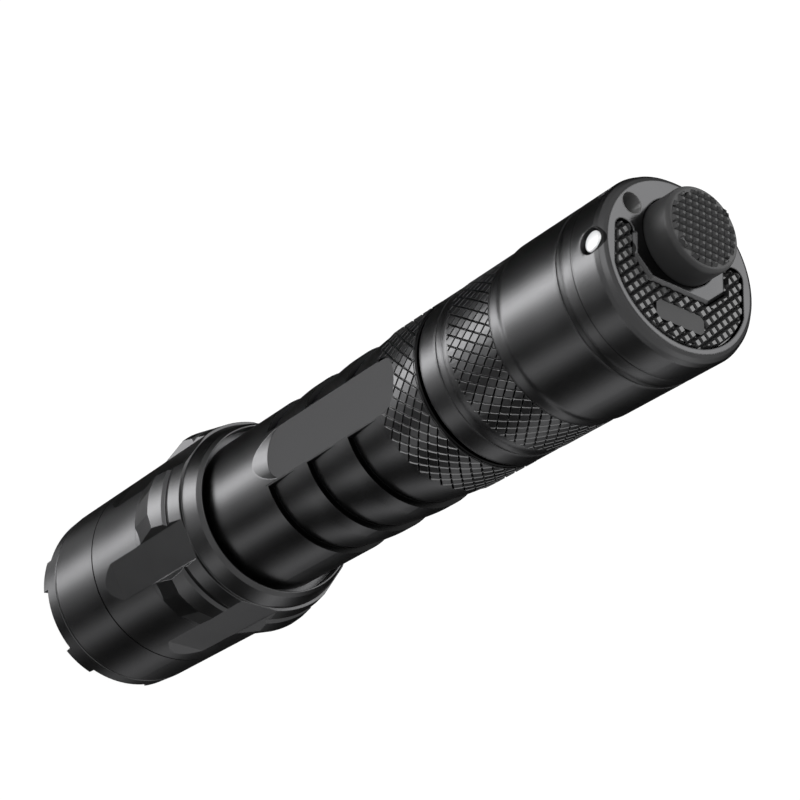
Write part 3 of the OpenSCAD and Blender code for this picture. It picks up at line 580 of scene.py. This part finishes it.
# Tail cap: turned aluminium with a knurled ring, a smooth band for a ring clamp and a
# pocketed end face, anodised black. It screws onto the tube and carries the switches.
# The wall of its lanyard hole is bare of dye and scatters the light.
ring_cut, ring_half, hairline, hairline_half = 131.6 * MM, 0.5 * MM, 133.9 * MM, 0.07 * MM
soft_below, face_above, countersink_r = 136.4 * MM, 139.5 * MM, 1.85 * MM
hole_at, hole_r, hole_above = (-6.869 * MM, -6.99 * MM, 0), 1.52 * MM, 133 * MM
ring_low, ring_high, ring_starts, ring_lean, ring_shift = 108.2 * MM, 117.35 * MM, 50, 32.6, -2.5
ring_groove = 0.27 * MM
low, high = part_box("indicator_lens")
guide_z, guide_turn = (low.z + high.z) / 2, math.atan2(low.y + high.y, low.x + high.x)
guide_way = (math.cos(guide_turn), math.sin(guide_turn), 0)


def cap_painted_shade(at):
    """Painted shade in the ring cut, the hairline and the countersink round the light guide."""
    height = at.axis("Z")
    cuts = 0.35 * (abs(height - ring_cut) < ring_half) + 0.6 * (abs(height - hairline) < hairline_half)
    from_guide = at.vector("SUBTRACT", (0, 0, guide_z))
    reach = from_guide.vector("CROSS_PRODUCT", guide_way).length()
    return (cuts + 0.85 * (reach < countersink_r) * (from_guide.dot(guide_way) > 0.0)).clamped()


def on_soft_side(at):
    """1 on the cap's side, whose steps are rounded more than its end."""
    return at.axis("Z") < soft_below


cap_anodise, shader, at, colour, roughness = anodised(
    "black_anodise_cap", 0.3 * MM, cap_painted_shade, 0.6, (0.9 * MM, on_soft_side)
)
in_hole = (at.vector("SUBTRACT", hole_at).level().length() < hole_r) * (at.axis("Z") > hole_above)
feed(
    shader, Base_Color=tone(in_hole, colour, (0.16, 0.16, 0.16)), Metallic=1.0 - in_hole,
    Roughness=roughness - 0.15 * (at.axis("Z") > face_above),
)
dress(cap_anodise, "tail_cap")
ring = knurl(ring_low, ring_high, ring_starts, ring_lean, ring_shift, ring_groove)
bmesh.ops.recalc_face_normals(ring, faces=ring.faces)
piece("cap_knurl", ring, knurl_anodise, "tail", corner=20)


# Switches: two sealed push switches soldered to a round board, which a brass ring holds
# in the cap. White nylon stems and plungers pass each press on to them.
dress(ring_brass, "tail_ring")
dress(green_board, "switch_board")
dress(black_epoxy, "power_switch", "mode_switch")
dress(white_nylon, "power_stem", "mode_stem", "power_plunger", "mode_plunger")


# Power button: a tall boot of black silicone rubber over its plunger, with a skirt under
# the tail wall and a checkered top of small blunt pyramids moulded in one with it.
cap_turn = math.radians(-7)
button_rubber = rubber("button_rubber", (0.018, 0.018, 0.0185), (0.026, 0.026, 0.0265), 0.5, 0.12 * MM)[0]
low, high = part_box("power_button")
button_x, button_y = (low.x + high.x) / 2, (low.y + high.y) / 2
skirt_r, button_r, check_r = (high.x - low.x) / 2, 5.85 * MM, 5.15 * MM
skirt_h, skirt_slope, shoulder_h = 1.6 * MM, 0.1 * MM, 0.75 * MM
check_pitch, check_h, check_foot, crown = 1.03 * MM, 0.42 * MM, 0.33, 0.22 * MM
check_count, check_sides, check_lift, top_clear = 12, 40, 0.01 * MM, 0.02 * MM
top = high.z - check_h - top_clear
shoulder = [
    (check_r + (button_r - check_r) * across, top - crown - shoulder_h * (1 - along))
    for across, along in quarter_turns(8)
]
skirt = [
    (button_r, low.z + skirt_h + skirt_slope), (skirt_r, low.z + skirt_h), (skirt_r, low.z), (0, low.z)
]
boot = lathe([(0, top), (check_r * 0.5, top - crown * 0.25), (check_r, top - crown)] + shoulder + skirt, 96)


def checkered(bm, cells, thickness, height):
    """Raises each cell to a blunt pyramid with its foot lines left down."""
    bmesh.ops.inset_individual(bm, faces=cells, thickness=thickness, depth=height, use_even_offset=True)


checks = bmesh.new()
bmesh.ops.create_grid(
    checks, x_segments=check_count, y_segments=check_count, size=check_count * check_pitch / 2
)
for i in range(check_sides):
    turn = i * math.tau / check_sides
    out = Vector((math.cos(turn), math.sin(turn), 0))
    cut(checks, checks.faces, out * check_r, out, clear=True)
whole_checks = [face for face in checks.faces if face.calc_area() > 0.5 * check_pitch ** 2]
checkered(checks, whole_checks, check_pitch * check_foot, check_h)
for vert in checks.verts:
    vert.co.z += top + check_lift - crown * (vert.co.to_2d().length / check_r) ** 2
check_mesh = bpy.data.meshes.new("button_checks")
checks.to_mesh(check_mesh)
checks.free()
boot.from_mesh(check_mesh)
bmesh.ops.rotate(boot, verts=boot.verts, cent=(0, 0, 0), matrix=Matrix.Rotation(cap_turn, 3, "Z"))
bmesh.ops.translate(boot, verts=boot.verts, vec=(button_x, button_y, 0))
piece("power_boot", boot, button_rubber, "power", "power_button", corner=25)


# Mode paddle: a crescent of the same rubber in the cap's pocket, round the button. Its
# top is a field of blunt pyramids set cornerwise, with a bare raised plate in the middle.
low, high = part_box("mode_paddle")
field_pitch, field_h, field_foot, field_lines = 1.25 * MM, 0.62 * MM, 0.24, 12
plate_at, plate_half, plate_long, plate_h, plate_corner = 7.1 * MM, 1.3 * MM, 3.8 * MM, 0.42 * MM, 0.55 * MM
field_floor = high.z - field_h
paddle_rubber, shader, at, roughness = rubber(
    "paddle_rubber", (0.010, 0.010, 0.0105), (0.016, 0.016, 0.0165), 0.32, 0.12 * MM, 0.6
)
on_plate = abs(at.axis("Z") - (field_floor + plate_h)) < 0.015 * MM
feed(shader, Roughness=roughness + 0.4 * on_plate)
paddle = bmesh.new()
paddle.from_mesh(nodes["mode_paddle"].data)
bmesh.ops.remove_doubles(paddle, verts=paddle.verts, dist=1e-6)
cut(paddle, paddle.faces, (0, 0, field_floor), (0, 0, 1), clear=True)
bmesh.ops.edgenet_fill(paddle, edges=[edge for edge in paddle.edges if edge.is_boundary])


def bed():
    """The paddle's faces that lie on the floor of its field."""
    return [
        face for face in paddle.faces
        if face.normal.z > 0.9 and abs(face.calc_center_median().z - field_floor) < 1e-6
    ]


for corner_way in (math.radians(45), math.radians(135)):
    out = Vector((math.cos(corner_way + cap_turn), math.sin(corner_way + cap_turn), 0))
    for i in range(-field_lines, field_lines + 1):
        cut(paddle, bed(), out * (i + 0.5) * field_pitch, out)
unturn = Matrix.Rotation(-cap_turn, 3, "Z")


def under_plate(point):
    """Whether the plate stands on this point of the field."""
    local = unturn @ point
    return abs(local.x - plate_at) < plate_half and abs(local.y) < plate_long


raised = [
    face for face in bed()
    if face.calc_area() > 0.25 * field_pitch ** 2 and not under_plate(face.calc_center_median())
]
checkered(paddle, raised, field_pitch * field_foot, field_h)
plate_middle = Matrix.Translation((plate_at, 0, field_floor + plate_h / 2))
plate_place = Matrix.Rotation(cap_turn, 4, "Z") @ plate_middle
plate_size = Matrix.Diagonal((2 * plate_half, 2 * plate_long, plate_h, 1))
plate = bmesh.ops.create_cube(paddle, size=1.0, matrix=plate_place @ plate_size)["verts"]
plate_edges = {edge for vert in plate for edge in vert.link_edges}
upright = [edge for edge in plate_edges if abs((edge.verts[0].co - edge.verts[1].co).z) > plate_h / 2]
bmesh.ops.bevel(
    paddle, geom=upright, offset=plate_corner, segments=1, profile=0.5, affect="EDGES", material=-1
)
piece("mode_crescent", paddle, paddle_rubber, "mode", "mode_paddle", corner=25)


# Indicator: a milky polycarbonate light guide with a domed end, pressed into a countersunk
# hole in the side of the tail. A small chip behind it lights it.
low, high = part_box("indicator_lens")
guide_r, guide_out, guide_in, guide_dome = (high.z - low.z) / 2, 12.55 * MM, 11.15 * MM, 0.35 * MM
guide_end = [(guide_r * across, guide_out - guide_dome * (1 - along)) for across, along in quarter_turns(8)]
guide = lathe(guide_end + [(guide_r, guide_in), (0, guide_in)], 48)
guide_place = Matrix.Rotation(guide_turn, 3, "Z") @ Matrix.Rotation(math.pi / 2, 3, "Y")
bmesh.ops.rotate(guide, verts=guide.verts, cent=(0, 0, 0), matrix=guide_place)
bmesh.ops.translate(guide, verts=guide.verts, vec=(0, 0, guide_z))
milky, shader, at = finish(
    "milky_guide", Subsurface_Weight=0.4, Subsurface_Radius=(1 * MM, 1 * MM, 1 * MM), Subsurface_Scale=1.0
)
milk = noise(at, 1.2 * MM, 3)
feed(shader, Base_Color=tone(milk, (0.86, 0.87, 0.88), (0.93, 0.94, 0.95)), Roughness=0.22 + 0.1 * milk)
piece("indicator_guide", guide, milky, "tail", "indicator_lens")
dress(moulded("led_chip", (0.75, 0.66, 0.30), (0.85, 0.76, 0.40), 0.4), "indicator_led")


# Camera: a short telephoto lens above the tail, rolled so that the lamp lies across the
# picture with its head at the lower left.
scene = bpy.context.scene
scene.view_settings.view_transform = "Standard"
camera_data = bpy.data.cameras.new("camera")
camera_data.sensor_width, camera_data.lens = 36.0, 99.0
camera_data.clip_start, camera_data.clip_end = 0.01, 20.0
camera_data.shift_x, camera_data.shift_y = -0.0004, 0.00065
camera = bpy.data.objects.new("camera", camera_data)
scene.collection.objects.link(camera)
camera.location = Vector((121.66, -170.56, 310.89)) * MM
look, roll = Vector((-0.40469, 0.54470, -0.73453)), math.radians(58.263)
camera.rotation_mode = "QUATERNION"
camera.rotation_quaternion = look.to_track_quat("-Z", "Y") @ Matrix.Rotation(roll, 4, "Z").to_quaternion()
scene.camera = camera


# Floor: a wide sheet of white paper under the bezel, a hair below it. The camera sees it
# nearly white, and it lights the lamp as plain paper does.
def set_piece(name, bm, material):
    """Makes a mesh for the set, which is no part of the lamp."""
    mesh = bpy.data.meshes.new(name)
    bm.to_mesh(mesh)
    bm.free()
    mesh.materials.append(material)
    made = bpy.data.objects.new(name, mesh)
    scene.collection.objects.link(made)
    return made


def seen_white(tree):
    """1 for what the camera, metal and glass see, 0 for what lights the object."""
    path = tree.nodes.new("ShaderNodeLightPath")
    ray_names = ("Is Camera Ray", "Is Glossy Ray", "Is Transmission Ray")
    camera_ray, glossy_ray, glass_ray = (Socket(tree, path.outputs[name]) for name in ray_names)
    return (camera_ray + glossy_ray + glass_ray).clamped()


set_half, floor_drop = 6.0, 0.05 * MM
paper, shader, at = finish("floor_paper", Roughness=0.9, Specular_IOR_Level=0.1)
feed(shader, Base_Color=tone(noise(at, 4 * MM), (0.86, 0.86, 0.86), (0.90, 0.90, 0.90)))
glow = at.make("ShaderNodeEmission", {}, {"Color": (1, 1, 1, 1), "Strength": 1.06})
plain = Socket(paper.node_tree, shader.outputs[0])
shaded = at.make("ShaderNodeMixShader", {}, {0: 0.92 * seen_white(paper.node_tree), 1: plain, 2: glow})
paper.node_tree.links.new(shaded.output, paper.node_tree.nodes["Material Output"].inputs["Surface"])
sheet = bmesh.new()
bmesh.ops.create_grid(
    sheet, x_segments=1, y_segments=1, size=set_half, matrix=Matrix.Translation((0, 0, -floor_drop))
)
floor = set_piece("floor", sheet, paper)
floor.visible_glossy = floor.visible_shadow = False


# Reflector card: a round dark card below the set that only the gloss shows. Its bright bands
# run outward by compass angle and fade near its middle; a spot lights the head's facets.
bands = ((-117.0, 14.5, 40), (-87.0, 1.2, 40), (-38.5, 2.2, 70), (34.0, 2.6, 30))
card_drop, card_dark, fade_from, fade_over = 0.8, 0.015, 0.33, 0.125
spot_at, spot_r, spot_bright = (-0.434, -0.110, 0), 0.18, 4.0
card_light = bpy.data.materials.new("card_light")
card_light.use_nodes = True
card_light.node_tree.nodes.clear()
card_coords = card_light.node_tree.nodes.new("ShaderNodeTexCoord")
across_card = Socket(card_light.node_tree, card_coords.outputs["Object"]).level()
from_spot = across_card.vector("DISTANCE", spot_at, out="Value")
level = spot_bright * (1.0 - from_spot * (1 / spot_r)).clamped() + card_dark
faded = ((across_card.length() - fade_from) * (1 / fade_over)).clamped()
for compass, bright, narrow in bands:
    toward = (math.cos(math.radians(compass)), math.sin(math.radians(compass)), 0)
    facing = across_card.vector("NORMALIZE").dot(toward)
    level = bright * facing.sum("MAXIMUM", facing, 0.0) ** narrow * faded + level
card_shine = level.make("ShaderNodeEmission", {}, {"Color": level, "Strength": 1.0})
card_out = card_light.node_tree.nodes.new("ShaderNodeOutputMaterial")
card_light.node_tree.links.new(card_shine.output, card_out.inputs["Surface"])
round_card = bmesh.new()
bmesh.ops.create_circle(
    round_card, cap_ends=True, segments=96, radius=set_half, matrix=Matrix.Translation((0, 0, -card_drop))
)
card = set_piece("reflector_card", round_card, card_light)
card.visible_camera = card.visible_diffuse = card.visible_transmission = card.visible_shadow = False


# Room and lights: an evenly lit white room, and three square area lights turned to the
# flashlight's tail half: a key, a larger one behind and a weak one at the side.
room = bpy.data.worlds.new("room")
scene.world = room
room.use_nodes = True
background = room.node_tree.nodes["Background"]
background.inputs["Color"].default_value = (1, 1, 1, 1)
room_level = 0.45 + 0.55 * seen_white(room.node_tree)
room.node_tree.links.new(room_level.output, background.inputs["Strength"])

area_lights = (
    ("key", (-0.25, -0.65, 0.62), 0.6, 3.0),
    ("back", (-0.36, 0.62, 0.88), 0.9, 8.5),
    ("side", (0.60, 0.44, 0.44), 0.4, 0.6),
)
aim = Vector((0, 0, 0.1))
for name, place, wide, energy in area_lights:
    light_data = bpy.data.lights.new(name, "AREA")
    light_data.shape, light_data.size, light_data.energy = "SQUARE", wide, energy
    light = bpy.data.objects.new(name, light_data)
    scene.collection.objects.link(light)
    light.location = place
    light.rotation_mode = "QUATERNION"
    light.rotation_quaternion = (aim - light.location).to_track_quat("-Z", "Y")
    light.visible_camera = False
